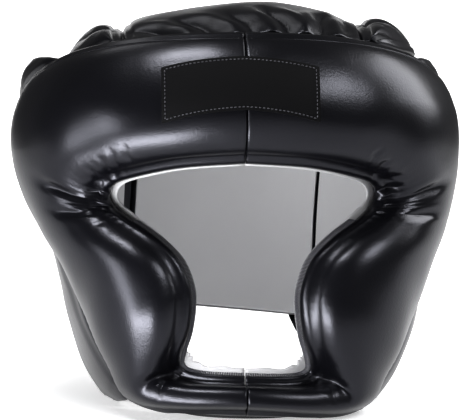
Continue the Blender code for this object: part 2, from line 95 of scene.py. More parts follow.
Section = namedtuple("Section", "eye mouth edge turn rim pad thin")
SECTIONS = (
    Section(0.00, 0.00, 0.260, -90, 1.000, 0.79, 0.40),
    Section(0.48, 0.00, 0.236, -68, 0.986, 0.79, 0.40),
    Section(0.84, 0.00, 0.184, -48, 0.940, 0.86, 0.42),
    Section(0.96, 0.00, 0.146, -31, 0.865, 0.93, 0.46),
    Section(1.00, 0.00, 0.092, -12, 0.724, 0.97, 0.52),
    Section(0.985, 0.0, 0.043, 1, 0.476, 0.97, 0.55),
    Section(0.94, 0.00, 0.005, 0, 0.195, 0.97, 0.55),
    Section(0.83, 0.00, -0.05, -6, -0.038, 0.97, 0.55),
    Section(0.64, 0.00, -0.137, -14, -0.227, 1.00, 0.55),
    Section(0.48, 0.00, -0.246, -21, -0.398, 1.00, 0.55),
    Section(0.00, 1.04, -0.379, -26, -0.540, 1.00, 0.55),
    Section(0.00, 1.02, -0.493, -31, -0.673, 1.00, 0.55),
    Section(0.00, 1.09, -0.616, -37, -0.796, 0.97, 0.55),
    Section(0.00, 1.21, -0.715, -42, -0.920, 0.94, 0.60),
    Section(0.00, 1.23, -0.785, -54, -0.985, 0.88, 0.62),
    Section(0.00, 0.90, -0.812, -69, -1.005, 0.82, 0.62),
    Section(0.00, 0.00, -0.815, -90, -1.000, 0.79, 0.60),
)
LAST_SECTION = len(SECTIONS) - 1
SIDES = ((1, "left"), (-1, "right"))

# Sections at the eye corner, of the cheek, and where the cheek turns into the chin bar
EYE_CORNER = 5.7
CHEEK_FROM = 3
CHEEK_TO = 13.5
CHIN_THINS = (12.6, 14.6)
CHIN_ROUNDS = (12.8, 14.4)

Dent = namedtuple("Dent", "side along across reach width depth")
DENTS = (
    Dent(1, 0.300, 0.18, 0.018, 0.11, 0.10),
    Dent(1, 0.400, 0.18, 0.018, 0.10, 0.08),
    Dent(-1, 0.290, 0.18, 0.018, 0.11, 0.10),
    Dent(-1, 0.385, 0.16, 0.018, 0.10, 0.08),
    Dent(1, 0.865, 0.24, 0.020, 0.20, 0.08),
    Dent(-1, 0.855, 0.24, 0.022, 0.20, 0.08),
)

# Folds pressed into the leather, each a line seen from the front, from one place (across,
# height) to another, with its depth and half width
Fold = namedtuple("Fold", "x0 z0 x1 z1 depth width")
MASK_FOLDS = (
    Fold(-0.0690, 0.0065, -0.0850, 0.0125, 0.0030, 0.0015),
    Fold(-0.0700, 0.0020, -0.0830, 0.0000, 0.0026, 0.0013),
    Fold(-0.0700, 0.0115, -0.0830, 0.0220, 0.0014, 0.0011),
    Fold(-0.0670, 0.0160, -0.0770, 0.0280, 0.0013, 0.0010),
    Fold(-0.0640, 0.0200, -0.0715, 0.0320, 0.0011, 0.0010),
    Fold(-0.0590, 0.0240, -0.0645, 0.0350, 0.0009, 0.0010),
    Fold(-0.0720, -0.0030, -0.0810, -0.0085, 0.0012, 0.0012),
    Fold(0.0700, 0.0085, 0.0870, 0.0130, 0.0032, 0.0013),
    Fold(0.0715, 0.0135, 0.0850, 0.0190, 0.0018, 0.0011),
    Fold(0.0715, 0.0045, 0.0850, 0.0055, 0.0020, 0.0012),
    Fold(0.0690, 0.0180, 0.0770, 0.0270, 0.0014, 0.0011),
    Fold(0.0650, 0.0220, 0.0720, 0.0330, 0.0010, 0.0010),
    Fold(0.0720, -0.0010, 0.0820, -0.0060, 0.0012, 0.0012),
    Fold(-0.0340, -0.0900, -0.0480, -0.1010, 0.0014, 0.0014),
    Fold(-0.0360, -0.0860, -0.0520, -0.0930, 0.0011, 0.0013),
    Fold(0.0340, -0.0900, 0.0460, -0.1000, 0.0014, 0.0014),
    Fold(0.0360, -0.0860, 0.0500, -0.0920, 0.0011, 0.0013),
)


def mix(a, b, share):
    return a + (b - a) * share


def clamp(value, low=0.0, high=1.0):
    return min(max(value, low), high)


def ease(value, low, high):
    """0 below low, 1 above high, with a smooth rise between."""
    share = clamp((value - low) / (high - low))
    return share * share * (3 - 2 * share)


def bell(value, middle, reach):
    """1 at the middle, fading to nothing over a few times the reach."""
    return math.exp(-(((value - middle) / reach) ** 2))


def curve(keys, values, at):
    """A smooth curve through values at keys."""
    last = len(keys) - 1
    at = clamp(at, keys[0], keys[-1])
    spot = max(i for i in range(last) if keys[i] <= at or i == 0)
    slopes = []
    for i in (spot, spot + 1):
        before, after = max(i - 1, 0), min(i + 1, last)
        slopes.append((values[after] - values[before]) / (keys[after] - keys[before]))
    step = keys[spot + 1] - keys[spot]
    t = (at - keys[spot]) / step
    return (
        (2 * t**3 - 3 * t**2 + 1) * values[spot]
        + (t**3 - 2 * t**2 + t) * step * slopes[0]
        + (3 * t**2 - 2 * t**3) * values[spot + 1]
        + (t**3 - t**2) * step * slopes[1]
    )


def columns(rows, key):
    """Every column of a table as a curve over the column called key."""
    keys = [getattr(row, key) for row in rows]
    names = rows[0]._fields

    def at(value):
        return {n: curve(keys, [getattr(row, n) for row in rows], value) for n in names}

    return at


level_at = columns(LEVELS, "height")


def up(share):
    return share * (BAND_RISE if share > 0 else CHIN_DROP)


def share_of(height):
    return height / (BAND_RISE if height > 0 else CHIN_DROP)


LEVEL_STEP = 0.0005
level_store = {}


def level(height):
    """Half width, front and back of the wall at a height, kept for every half millimetre."""
    low = math.floor(height / LEVEL_STEP)
    for number in (low, low + 1):
        if number not in level_store:
            row = level_at(share_of(number * LEVEL_STEP))
            level_store[number] = (
                INSIDE_HALF_WIDTH * row["width"],
                INSIDE_FRONT * row["front"],
                INSIDE_BACK * row["back"],
            )
    share = height / LEVEL_STEP - low
    pairs = zip(level_store[low], level_store[low + 1])
    return [mix(a, b, share) for a, b in pairs]


def wall(turn, height):
    """A point on the inside of the guard's wall."""
    half, front, back = level(height)
    across = math.cos(math.radians(turn))
    deep = math.sin(math.radians(turn))
    x = half * math.copysign(abs(across) ** (2 / ROUNDNESS), across)
    y = (back if deep > 0 else front) * math.copysign(abs(deep) ** (2 / ROUNDNESS), deep)
    return Vector((x, y, height))


wall.steps = (0.5, 0.0005)


def turn_at(x, height, side):
    half = level(height)[0]
    share = min(1.0, abs(x) / half) ** (ROUNDNESS / 2)
    turn = side * math.degrees(math.acos(share))
    return turn if x >= 0 else side * 180 - turn


def outward(surface, a, b):
    step_a, step_b = surface.steps
    along = surface(a + step_a, b) - surface(a - step_a, b)
    across = surface(a, b + step_b) - surface(a, b - step_b)
    return along.cross(across).normalized()


def lift(surface, a, b, out):
    return surface(a, b) + outward(surface, a, b) * out


def stand():
    lean = math.radians(LEAN_DEG)
    clearance = CHIN_STRAP_THICK + GAP
    return clearance + CHIN_DROP * math.cos(lean) - wall(-90, -CHIN_DROP).y * -math.sin(lean)


STAND = stand()


def leaned(x, y, z):
    """An upright point, leaned back with the whole guard and raised onto its strap."""
    lean = math.radians(LEAN_DEG)
    return Vector(
        (
            x,
            y * math.cos(lean) + z * math.sin(lean),
            z * math.cos(lean) - y * math.sin(lean) + STAND,
        )
    )


def rest(point):
    """An upright point of the guard, twisted and leaned as the soft guard sits."""
    x, y, z = point
    back = ease(y, *TWISTS)
    low = ease(-z, *SKEWS) * (1 - back)
    twist, askew = math.radians(back * BACK_TWIST_DEG), math.radians(low * CHIN_TWIST_DEG)
    sway = CHEEK_SWAY * ease(-z, *SWAYS) * (x / INSIDE_HALF_WIDTH) ** 2
    slack = (1 - ease(z, *SLACK_ABOVE)) * (1 - ease(-z, *SLACK_BELOW))
    drop = math.sin(twist) * slack + math.sin(askew)
    sat = leaned(x + z * math.sin(twist) + sway, y, z - x * drop)
    return Vector((sat.x, sat.y, max(sat.z, 0.0))) - MIDDLE


def dome(share):
    return math.sin(math.pi * share**0.74) ** 0.7


def mask_row(section):
    """The mask's columns at a section number, which need not be whole."""
    numbers = range(len(SECTIONS))
    return Section(*(curve(numbers, column, section) for column in zip(*SECTIONS)))


def mask_spot(row, share):
    """Turn and height of the mask at a share across one of its sections."""
    x = row.eye * EYE_HALF_WIDTH + row.mouth * MOUTH_HALF_WIDTH
    low = up(row.edge)
    start = turn_at(x, low, -1)
    return mix(start, row.turn, share), mix(low, up(row.rim), share)


def width_of(row):
    return (wall(*mask_spot(row, 1.0)) - wall(*mask_spot(row, 0.0))).length


def mask_thickness(row, section, share, side):
    edge = mix(MASK_EDGE, CHIN_EDGE, ease(section, *CHIN_THINS))
    base = mix(edge, row.thin, share)
    share_in = clamp(share)
    round_bar = math.sin(math.pi * share_in) ** 0.85
    full = base + (1 - base) * mix(dome(share_in), round_bar, ease(section, *CHIN_ROUNDS))
    along = section / LAST_SECTION
    for dent in DENTS:
        if dent.side == side:
            near = bell(along, dent.along, dent.reach) * bell(share, dent.across, dent.width)
            full -= dent.depth * near
    return row.pad * MASK_PAD * full


def folded(folds, x, z):
    """How deep the folds press the leather in at a place, with a soft lip beside each."""
    total = 0.0
    for fold in folds:
        run_x, run_z = fold.x1 - fold.x0, fold.z1 - fold.z0
        length = math.hypot(run_x, run_z)
        t = ((x - fold.x0) * run_x + (z - fold.z0) * run_z) / length**2
        if -0.15 < t < 1.15:
            aside = ((x - fold.x0) * run_z - (z - fold.z0) * run_x) / length
            aside += 0.0008 * math.sin(9 * t + 40 * fold.x0)
            if abs(aside) < 6 * fold.width:
                taper = ease(t, -0.15, 0.2) * (1 - ease(t, 0.55, 1.15))
                valley = math.exp(-abs(aside) / fold.width * 1.2)
                lip = bell(abs(aside), 2.2 * fold.width, fold.width)
                total += fold.depth * taper * (valley - 0.30 * lip)
    return total


SEAM_REACH = 0.0013
SEAM_DROP = 0.0008


def seam_dip(away):
    """How far leather rounds down towards a sewn seam, at a distance from it."""
    share = clamp(away / SEAM_REACH)
    return SEAM_DROP * (1 - math.sqrt(1 - (1 - share) ** 2))


def softness(point, size, depth):
    """Gentle unevenness of foam under leather."""
    return depth * noise.noise(point / size)


def placed(name, data):
    """A new object in the scene, with its mesh, lamp or camera data."""
    made = bpy.data.objects.new(name, data)
    bpy.context.scene.collection.objects.link(made)
    return made


def object_of(name, points, faces):
    """A new smooth object from its points and faces."""
    mesh = bpy.data.meshes.new(name)
    mesh.from_pydata([tuple(point) for point in points], [], faces)
    mesh.shade_smooth()
    return placed(name, mesh)


def mesh_of(name, rings):
    """Skins closed rows of points into one closed piece, its faces turned outwards."""
    points = [point for ring in rings for point in ring]
    count = len(rings[0])
    faces = []
    for row in range(len(rings) - 1):
        for i in range(count):
            j = (i + 1) % count
            low, high = row * count, (row + 1) * count
            faces.append((low + i, high + i, high + j, low + j))
    faces.append(tuple(range(count)))
    faces.append(tuple(reversed(range(len(points) - count, len(points)))))
    made = object_of(name, points, faces)
    shape = bmesh.new()
    shape.from_mesh(made.data)
    bmesh.ops.recalc_face_normals(shape, faces=shape.faces)
    shape.to_mesh(made.data)
    shape.free()
    return made


def mirrored(points, side, shift=0.0):
    return [Vector((side * (p.x + shift), p.y, p.z)) for p in points]


INSET_MOST = 0.45
ROUND_STEPS = 6


def inset_of(width, roll):
    """The share of a pad's width that its rounded edge takes up."""
    return min(INSET_MOST, roll / width)


def pad_ring(spot, surface, thickness, press, roll, outer_steps, inner_steps, inside=0.0):
    """A closed section of a pad: swelling outside, rounded edges, flat inside."""
    width = (surface(*spot(1.0)) - surface(*spot(0.0))).length
    inset = inset_of(width, roll)
    spread = 1 - 2 * inset
    points = []
    for i in range(outer_steps + 1):
        share = i / outer_steps
        place = spot(inset + spread * share)
        base, normal = surface(*place), outward(surface, *place)
        out = inside + thickness(share)
        points.append(base + normal * (out - press(base + normal * out, share)))
    for end in (1.0, 0.0):
        edge = thickness(end) - press(lift(surface, *spot(end), inside + thickness(end)), end)
        for k in range(1, ROUND_STEPS):
            angle = math.pi * (k if end else ROUND_STEPS - k) / ROUND_STEPS
            past = inset * (1 - math.sin(angle))
            place = spot(1 - past if end else past)
            out = inside + edge * (1 + math.cos(angle)) / 2
            points.append(lift(surface, *place, out))
        if end:
            for i in range(inner_steps, -1, -1):
                points.append(lift(surface, *spot(inset + spread * i / inner_steps), inside))
    return points


def crowded(share, ends):
    """Crowds evenly spaced shares towards both ends."""
    return share - ends * math.sin(2 * math.pi * share) / (2 * math.pi)


MASK_SOFT = (0.028, 0.0009)
EDGE_GATHER = 0.00002
CORNER_GATHER = 0.00014
REAR_GATHER = 0.00012
MASK_RINGS = 300
MASK_OUTER = 56


def mask_half(side, label):
    rings = []
    for i in range(MASK_RINGS + 1):
        section = LAST_SECTION * crowded(i / MASK_RINGS, 0.7)
        row = mask_row(section)

        def press(point, share):
            gather = bell(share, 0, 0.16) * math.sin(section * 19 + 3 * share)
            near_corner = bell(section, EYE_CORNER, 1.5)
            amount = (EDGE_GATHER + CORNER_GATHER * near_corner) * gather
            if CHEEK_FROM <= section <= CHEEK_TO:
                amount += REAR_GATHER * bell(1 - share, 0, 0.10) * math.sin(section * 23)
            amount += seam_dip(point.x) + softness(point, *MASK_SOFT)
            return amount + folded(MASK_FOLDS, side * point.x, point.z)

        points = pad_ring(
            lambda share: mask_spot(row, share),
            wall,
            lambda share: mask_thickness(row, section, share, side),
            press,
            EDGE_ROLL,
            MASK_OUTER,
            8,
        )
        rise = CHIN_RISE * ease(section, *CHIN_ROUNDS)
        for k in range(MASK_OUTER // 2):
            points[k].z += rise * math.sin(2 * math.pi * k / MASK_OUTER)
        rings.append([rest(p) for p in mirrored(points, side, SEAM_GAP / 4)])
    pad = mesh_of("mask_leather_" + label, rings)
    pad.data.materials.append(leather())
    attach(pad, "root")
    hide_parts("mask_pad_" + label)


def shaded(name):
    """A new material and its shader."""
    made = bpy.data.materials.new(name)
    made.use_nodes = True
    return made, made.node_tree.nodes["Principled BSDF"]


def texture(made, kind, scale, **settings):
    """A texture laid over a piece, at a scale per metre."""
    tree = made.node_tree
    place = tree.nodes.new("ShaderNodeTexCoord")
    found = tree.nodes.new("ShaderNodeTex" + kind)
    for label, value in {"Scale": scale, **settings}.items():
        found.inputs[label].default_value = value
    tree.links.new(place.outputs["Object"], found.inputs["Vector"])
    return found


def raised_by(made, height, strength, distance):
    """Raises a material's surface by a texture's value."""
    tree = made.node_tree
    bump = tree.nodes.new("ShaderNodeBump")
    bump.inputs["Strength"].default_value = strength
    bump.inputs["Distance"].default_value = distance
    tree.links.new(height, bump.inputs["Height"])
    tree.links.new(bump.outputs["Normal"], tree.nodes["Principled BSDF"].inputs["Normal"])


def coloured_by(made, share, low, high):
    """Colours a material between two tones by a texture's value."""
    tree = made.node_tree
    tone = tree.nodes.new("ShaderNodeMix")
    tone.data_type = "RGBA"
    tone.inputs["A"].default_value = low
    tone.inputs["B"].default_value = high
    tree.links.new(share, tone.inputs["Factor"])
    tree.links.new(tone.outputs["Result"], tree.nodes["Principled BSDF"].inputs["Base Color"])


def leather():
    """Black artificial leather: soft gloss over a fine pebbled grain."""
    made = bpy.data.materials.get("black_leather")
    if made:
        return made
    made, shader = shaded("black_leather")
    shader.inputs["Specular IOR Level"].default_value = 0.5
    shader.inputs["Specular Tint"].default_value = (0.88, 0.89, 1.0, 1)
    nodes, links = made.node_tree.nodes, made.node_tree.links
    grain = texture(made, "Voronoi", 1150)
    pores = texture(made, "Noise", 620, Detail=3)
    both = nodes.new("ShaderNodeMath")
    both.operation = "MULTIPLY_ADD"
    both.inputs[1].default_value = 0.6
    links.new(grain.outputs["Distance"], both.inputs[0])
    links.new(pores.outputs["Fac"], both.inputs[2])
    raised_by(made, both.outputs["Value"], 0.27, 0.00018)
    handled = texture(made, "Noise", 22, Detail=4)
    gloss = nodes.new("ShaderNodeMapRange")
    gloss.inputs["To Min"].default_value = 0.25
    gloss.inputs["To Max"].default_value = 0.33
    links.new(handled.outputs["Fac"], gloss.inputs["Value"])
    links.new(gloss.outputs["Result"], shader.inputs["Roughness"])
    dark, light = (0.0022, 0.0022, 0.0034, 1), (0.0040, 0.0040, 0.0060, 1)
    coloured_by(made, handled.outputs["Fac"], dark, light)
    return made


for side, label in SIDES:
    mask_half(side, label)

# MASK LININGS
# White woven lining glued inside each half of the mask. Its edge is turned over the edge of
# the opening, so that it shows as a light rim, widest at the eye corners and on the chin bar.

LINING = 0.0014
LINING_ROLL = 0.0012
LINING_GAP = 0.0014
LINING_COVERS = 0.93


def lining_cloth():
    """Fine white lining cloth: a close weave, here and there a little greyer."""
    made = bpy.data.materials.get("white_lining")
    if made:
        return made
    made, shader = shaded("white_lining")
    shader.inputs["Roughness"].default_value = 0.62
    weave = texture(made, "Wave", 900)
    weave.bands_direction = "Z"
    cross = texture(made, "Wave", 700)
    cross.bands_direction = "DIAGONAL"
    both = made.node_tree.nodes.new("ShaderNodeMath")
    both.operation = "MULTIPLY"
    made.node_tree.links.new(weave.outputs["Fac"], both.inputs[0])
    made.node_tree.links.new(cross.outputs["Fac"], both.inputs[1])
    raised_by(made, both.outputs["Value"], 0.25, 0.00012)
    worn = texture(made, "Noise", 14, Detail=3)
    coloured_by(made, worn.outputs["Fac"], (0.43, 0.43, 0.443, 1), (0.52, 0.52, 0.533, 1))
    return made


def cloth_ring(spot, steps, gap=LINING_GAP):
    """A closed section of lining cloth, which is equally thick all over."""
    return pad_ring(
        spot,
        wall,
        lambda share: LINING,
        lambda point, share: 0.0,
        LINING_ROLL,
        steps,
        steps,
        -LINING - gap,
    )


LINING_SHOWS = 0.0008
CORNER_SHOWS = 0.0046
CHIN_SHOWS = 0.0058
CHIN_BEGINS = (12.8, 13.9)
CHIN_LESSENS = (14.0, 15.4)
CHIN_WAVES = 0.14
MIDDLE_SHOWS = 0.48
LINING_RINGS = 180


def mask_lining(side, label):
    rings = []
    for i in range(LINING_RINGS + 1):
        section = LAST_SECTION * i / LINING_RINGS
        row = mask_row(section)
        width = width_of(row)
        corner = CORNER_SHOWS * bell(section, EYE_CORNER, 1.2)
        lessened = mix(1.0, MIDDLE_SHOWS, ease(section, *CHIN_LESSENS))
        chin = CHIN_SHOWS * ease(section, *CHIN_BEGINS) * lessened
        chin *= 1 + CHIN_WAVES * math.sin(section * 9.0)
        start = -(LINING_SHOWS + corner + chin) / width
        points = cloth_ring(lambda share: mask_spot(row, mix(start, LINING_COVERS, share)), 16)
        rings.append([rest(p) for p in mirrored(points, side, SEAM_GAP / 2)])
    cloth = mesh_of("mask_cloth_" + label, rings)
    cloth.data.materials.append(lining_cloth())
    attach(cloth, "root")
    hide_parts("mask_lining_" + label)


for side, label in SIDES:
    mask_lining(side, label)

# EAR PANELS
# Padded leather panels from the mask's rear seam back to the slits. Each has a round ear
# opening punched through leather and foam.

SIDE_PAD = 0.023
SIDE_END = 0.62
REAR_SEAM_GAP = 0.0015
BACK_HALF_WIDTH = 0.057
SLIT = 0.0026
SIDE_FIRST = 4
SIDE_LAST = 13
EAR_HOLE_RADIUS = 0.013
EAR_HOLE_TURN = 10
EAR_HOLE_HEIGHT = -0.10

Reach = namedtuple("Reach", "along low high pad")
SIDE_REACH = (
    Reach(0.00, -0.840, 0.880, 0.90),
    Reach(0.15, -0.940, 0.895, 1.00),
    Reach(0.32, -1.005, 0.890, 1.00),
    Reach(0.48, -1.030, 0.870, 1.00),
    Reach(0.62, -1.040, 0.830, 1.00),
    Reach(0.80, -0.900, 0.770, 0.95),
    Reach(1.00, -0.555, 0.700, 0.80),
)
reach_at = columns(SIDE_REACH, "along")
SEAM_ROWS = sorted(SECTIONS[SIDE_FIRST - 1 : SIDE_LAST + 2], key=lambda row: row.rim)
seam_at = columns(SEAM_ROWS, "rim")


def seam_turn(height):
    return seam_at(share_of(height))["turn"]


def swell(along, end):
    return end + (1 - end) * max(0.0, math.sin(math.pi * along)) ** 0.5


def side_spot(along, reach, share):
    height = mix(up(reach["low"]), up(reach["high"]), share)
    gap = math.degrees(REAR_SEAM_GAP / INSIDE_HALF_WIDTH)
    start = seam_turn(height) + gap
    stop = turn_at(BACK_HALF_WIDTH + SLIT / 2, height, 1)
    return mix(start, stop, along), height


def side_thickness(along, reach, share, side=1):
    height = side_spot(along, reach, clamp(share))[1]
    row = level_at(share_of(height))
    pad = SIDE_PAD * reach["pad"] * row["ear"]
    if side < 0:
        pad *= 1 + row["puff"] * ease(along, 0.0, 0.25)
    return pad * swell(along, SIDE_END) * (0.5 + 0.5 * dome(clamp(share)))


SIDE_SOFT = (0.035, 0.0011)
SIDE_GATHER = 0.0005
SIDE_RINGS = 90
SIDE_OUTER = 100


def punched(made, side):
    """Cuts the round ear opening through a panel or its lining."""
    height = up(EAR_HOLE_HEIGHT)
    ends = []
    for out in (-SIDE_PAD, 2 * SIDE_PAD):
        spot = lift(wall, EAR_HOLE_TURN, height, out)
        ends.append(rest(Vector((side * spot.x, spot.y, spot.z))))
    run = ends[1] - ends[0]
    bpy.ops.mesh.primitive_cylinder_add(
        vertices=64,
        radius=EAR_HOLE_RADIUS,
        depth=run.length,
        location=(ends[0] + ends[1]) / 2,
        rotation=run.to_track_quat("Z", "Y").to_euler(),
    )
    punch = bpy.context.object
    cut = made.modifiers.new("ear opening", "BOOLEAN")
    cut.operation = "DIFFERENCE"
    cut.object = punch
    bpy.context.view_layer.objects.active = made
    bpy.ops.object.modifier_apply(modifier=cut.name)
    bpy.data.objects.remove(punch)
    made.data.shade_smooth()
    made.data.set_sharp_from_angle(angle=math.radians(60))


def side_panel(side, label):
    rings = []
    for i in range(SIDE_RINGS + 1):
        along = crowded(i / SIDE_RINGS, 0.5)
        reach = reach_at(along)

        def press(point, share):
            pulled = SIDE_GATHER * math.sin(along * 60 + 5 * share) * bell(along, 0, 0.12)
            return pulled + softness(point, *SIDE_SOFT)

        points = pad_ring(
            lambda share: side_spot(along, reach, share),
            wall,
            lambda share: side_thickness(along, reach, share, side),
            press,
            EDGE_ROLL,
            SIDE_OUTER,
            24,
        )
        rings.append([rest(p) for p in mirrored(points, side)])
    pad = mesh_of("side_leather_" + label, rings)
    punched(pad, side)
    pad.data.materials.append(leather())
    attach(pad, "root")
    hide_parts("side_panel_" + label)


for side, label in SIDES:
    side_panel(side, label)

# EAR PANEL LININGS
# The same white cloth inside the ear panels, with the ear opening cut through it. On the
# wearer's right it stops short of the slit.

SIDE_LINING_FROM = 0.02
RIGHT_LINING_ENDS = 0.925


def side_lining(side, label):
    rings = []
    for i in range(SIDE_RINGS + 1):
        along = (1.0 if side > 0 else RIGHT_LINING_ENDS) * i / SIDE_RINGS
        reach = reach_at(along)
        points = cloth_ring(
            lambda share: side_spot(along, reach, mix(SIDE_LINING_FROM, 1.0, share)), 30
        )
        rings.append([rest(p) for p in mirrored(points, side)])
    cloth = mesh_of("side_cloth_" + label, rings)
    punched(cloth, side)
    cloth.data.materials.append(lining_cloth())
    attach(cloth, "root")
    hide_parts("side_lining_" + label)


for side, label in SIDES:
    side_lining(side, label)

# BACK PANEL AND ITS LINING
# A padded leather panel over the back of the head, between two open slits that let the guard
# spread. It is lined with the same white cloth as the rest.

BACK_PAD = 0.020
BACK_END = 0.55
BACK_SOFT = (0.03, 0.001)
BACK_RINGS = 80


def back_spot(along, share):
    low, high = up(SIDE_REACH[-1].low), up(SIDE_REACH[-1].high)
    height = mix(low, high, share)
    half = BACK_HALF_WIDTH - SLIT / 2
    start = turn_at(half, height, 1)
    stop = turn_at(-half, height, 1)
    return mix(start, stop, along), height


pads, linings = [], []
for i in range(BACK_RINGS + 1):
    along = crowded(i / BACK_RINGS, 0.5)
    ends = swell(along, BACK_END)
    pad_points = pad_ring(
        lambda share: back_spot(along, share),
        wall,
        lambda share: BACK_PAD * ends * (0.5 + 0.5 * dome(share)),
        lambda point, share: softness(point, *BACK_SOFT),
        EDGE_ROLL,
        48,
        12,
    )
    lining_points = cloth_ring(lambda share: back_spot(along, share), 24, SEAM_GAP)
    pads.append([rest(p) for p in pad_points])
    linings.append([rest(p) for p in lining_points])
back_pad = mesh_of("back_leather", pads)
back_pad.data.materials.append(leather())
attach(back_pad, "root")
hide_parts("back_panel")
back_cloth = mesh_of("back_cloth", linings)
back_cloth.data.materials.append(lining_cloth())
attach(back_cloth, "root")
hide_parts("back_lining")

# CROWN
# Three soft padded pieces over the top of the head: a wide one from front to back, and one on
# each side. They are sewn to each other and to the rim, and the slack leather wrinkles.

CROWN_PAD = 0.015
CROWN_END = 0.52
CROWN_SOFT = (0.030, 0.0010)
CROWN_TOP = 0.1032
CROWN_HALF_WIDTH = 0.947 * INSIDE_HALF_WIDTH
CROWN_FRONT = 0.9144 * INSIDE_FRONT
CROWN_BACK = 0.9204 * INSIDE_BACK
CROWN_SEAM = 0.063
CROWN_INSET = 0.985
CROWN_SIDE_TURN = 44
CROWN_TILT = 0.075
CROWN_SHIFT = 0.0014
CROWN_BULGE = 0.0078
CROWN_BULGE_AT = -0.073
CROWN_BULGE_REACH = 0.026

Rim = namedtuple("Rim", "turn height")
CROWN_RIM = (
    Rim(-90, 0.920),
    Rim(-50, 0.880),
    Rim(-30, 0.820),
    Rim(0, 0.800),
    Rim(30, 0.790),
    Rim(60, 0.730),
    Rim(90, 0.700),
)
rim_at = columns(CROWN_RIM, "turn")

# Folds of the slack crown, as lines seen from above
CROWN_FOLDS = (
    Fold(0.026, -0.098, 0.012, -0.058, 0.0044, 0.0040),
    Fold(0.040, -0.096, 0.046, -0.055, 0.0038, 0.0036),
    Fold(0.006, -0.098, -0.008, -0.070, 0.0026, 0.0036),
    Fold(-0.012, -0.098, -0.036, -0.066, 0.0036, 0.0044),
    Fold(-0.032, -0.094, -0.060, -0.066, 0.0030, 0.0040),
    Fold(0.056, -0.080, 0.058, -0.030, 0.0018, 0.0040),
    Fold(0.030, 0.090, 0.020, 0.050, 0.0024, 0.0050),
    Fold(-0.028, 0.090, -0.034, 0.052, 0.0024, 0.0050),
    Fold(-0.074, -0.050, -0.092, -0.024, 0.0022, 0.0036),
    Fold(-0.070, 0.030, -0.090, 0.046, 0.0022, 0.0036),
    Fold(0.070, -0.046, 0.090, -0.030, 0.0020, 0.0036),
    Fold(0.072, 0.034, 0.090, 0.022, 0.0020, 0.0036),
)


def crown_spot(x, y):
    deep = CROWN_BACK if y > 0 else CROWN_FRONT
    away = abs(x / CROWN_HALF_WIDTH) ** ROUNDNESS + abs(y / deep) ** ROUNDNESS
    turn = math.degrees(math.atan2(y / deep, max(abs(x), 1e-6) / CROWN_HALF_WIDTH))
    rise = (1 - min(away, 1.0)) ** 0.90
    return Vector((x, y, mix(up(rim_at(turn)["height"]), CROWN_TOP, rise)))


crown_spot.steps = (0.002, 0.002)


def slumped(point):
    """Pushes a point of the slack crown aside, and up or down."""
    bulge = bell(point.x, CROWN_BULGE_AT, CROWN_BULGE_REACH)
    return point + Vector((CROWN_SHIFT, 0.0, CROWN_TILT * point.x + CROWN_BULGE * bulge))


def crown_edge(x, side):
    deep = CROWN_BACK if side > 0 else CROWN_FRONT
    share = min(0.999, abs(x) / CROWN_HALF_WIDTH)
    return side * deep * (1 - share**ROUNDNESS) ** (1 / ROUNDNESS) * CROWN_INSET


def crown_piece(name, node, side, across, outer_steps):
    """One crown pad. across(along, share) gives its place on the crown's plan."""

    def press(point, share):
        return folded(CROWN_FOLDS, side * point.x, point.y) + softness(point, *CROWN_SOFT)

    rings = []
    steps = 130
    for i in range(steps + 1):
        along = crowded(i / steps, 0.6)
        ends = swell(along, CROWN_END)
        points = pad_ring(
            lambda share: across(along, share),
            crown_spot,
            lambda share: CROWN_PAD * ends * (0.6 + 0.4 * dome(share)),
            press,
            EDGE_ROLL,
            outer_steps,
            8,
        )
        rings.append([rest(slumped(p)) for p in mirrored(points, side)])
    pad = mesh_of(name, rings)
    pad.data.materials.append(leather())
    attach(pad, "root")
    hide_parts(node)


def centre_across(along, share):
    half = CROWN_SEAM - SEAM_GAP / 2
    x = mix(-half, half, share)
    return x, mix(crown_edge(x, -1), crown_edge(x, 1), along)


def side_across(along, share):
    inner = CROWN_SEAM + SEAM_GAP / 2
    seam_y = mix(crown_edge(inner, -1), crown_edge(inner, 1), along)
    turn = math.radians(mix(-CROWN_SIDE_TURN, CROWN_SIDE_TURN, along))
    deep = CROWN_BACK if turn > 0 else CROWN_FRONT
    rim_x = CROWN_HALF_WIDTH * math.cos(turn) ** (2 / ROUNDNESS) * CROWN_INSET
    rim_y = math.copysign(abs(math.sin(turn)) ** (2 / ROUNDNESS), turn) * deep * CROWN_INSET
    return mix(inner, rim_x, share), mix(seam_y, rim_y, share)


crown_piece("crown_leather_centre", "crown_centre", 1, centre_across, 96)
crown_piece("crown_leather_left", "crown_left", 1, side_across, 40)
crown_piece("crown_leather_right", "crown_right", -1, side_across, 40)

# FOREHEAD PATCH
# A rectangle of dull black leather cloth sewn flat on the forehead over the seam, left bare,
# with a row of short stitches all round.

PATCH_HALF_WIDTH = 0.041
PATCH_SHIFT = -0.003
PATCH_LOW = 0.385
PATCH_HIGH = 0.755
PATCH_DROOP = 0.06
PATCH_THICK = 0.0016
PATCH_LIFT = 0.0006


# The section at a place across the forehead is found in steps, by about its width
PLACE_STEPS = 20
SECTION_WIDTH = 0.045
LAST_PATCH_SECTION = 3.0


def patch_place(x, share, out):
    side = 1 if x >= 0 else -1
    section = 0.0
    for _ in range(PLACE_STEPS):
        row = mask_row(section)
        place = mask_spot(row, share)
        point = lift(wall, *place, mask_thickness(row, section, share, side) + out)
        section += (abs(x) - point.x) / SECTION_WIDTH
        section = clamp(section, 0.0, LAST_PATCH_SECTION)
    return Vector((x, point.y, point.z))


def patch_share(across, risen):
    """The share up the forehead of a place on the patch, whose ends droop a little."""
    return mix(PATCH_LOW, PATCH_HIGH, risen) - PATCH_DROOP * across**2


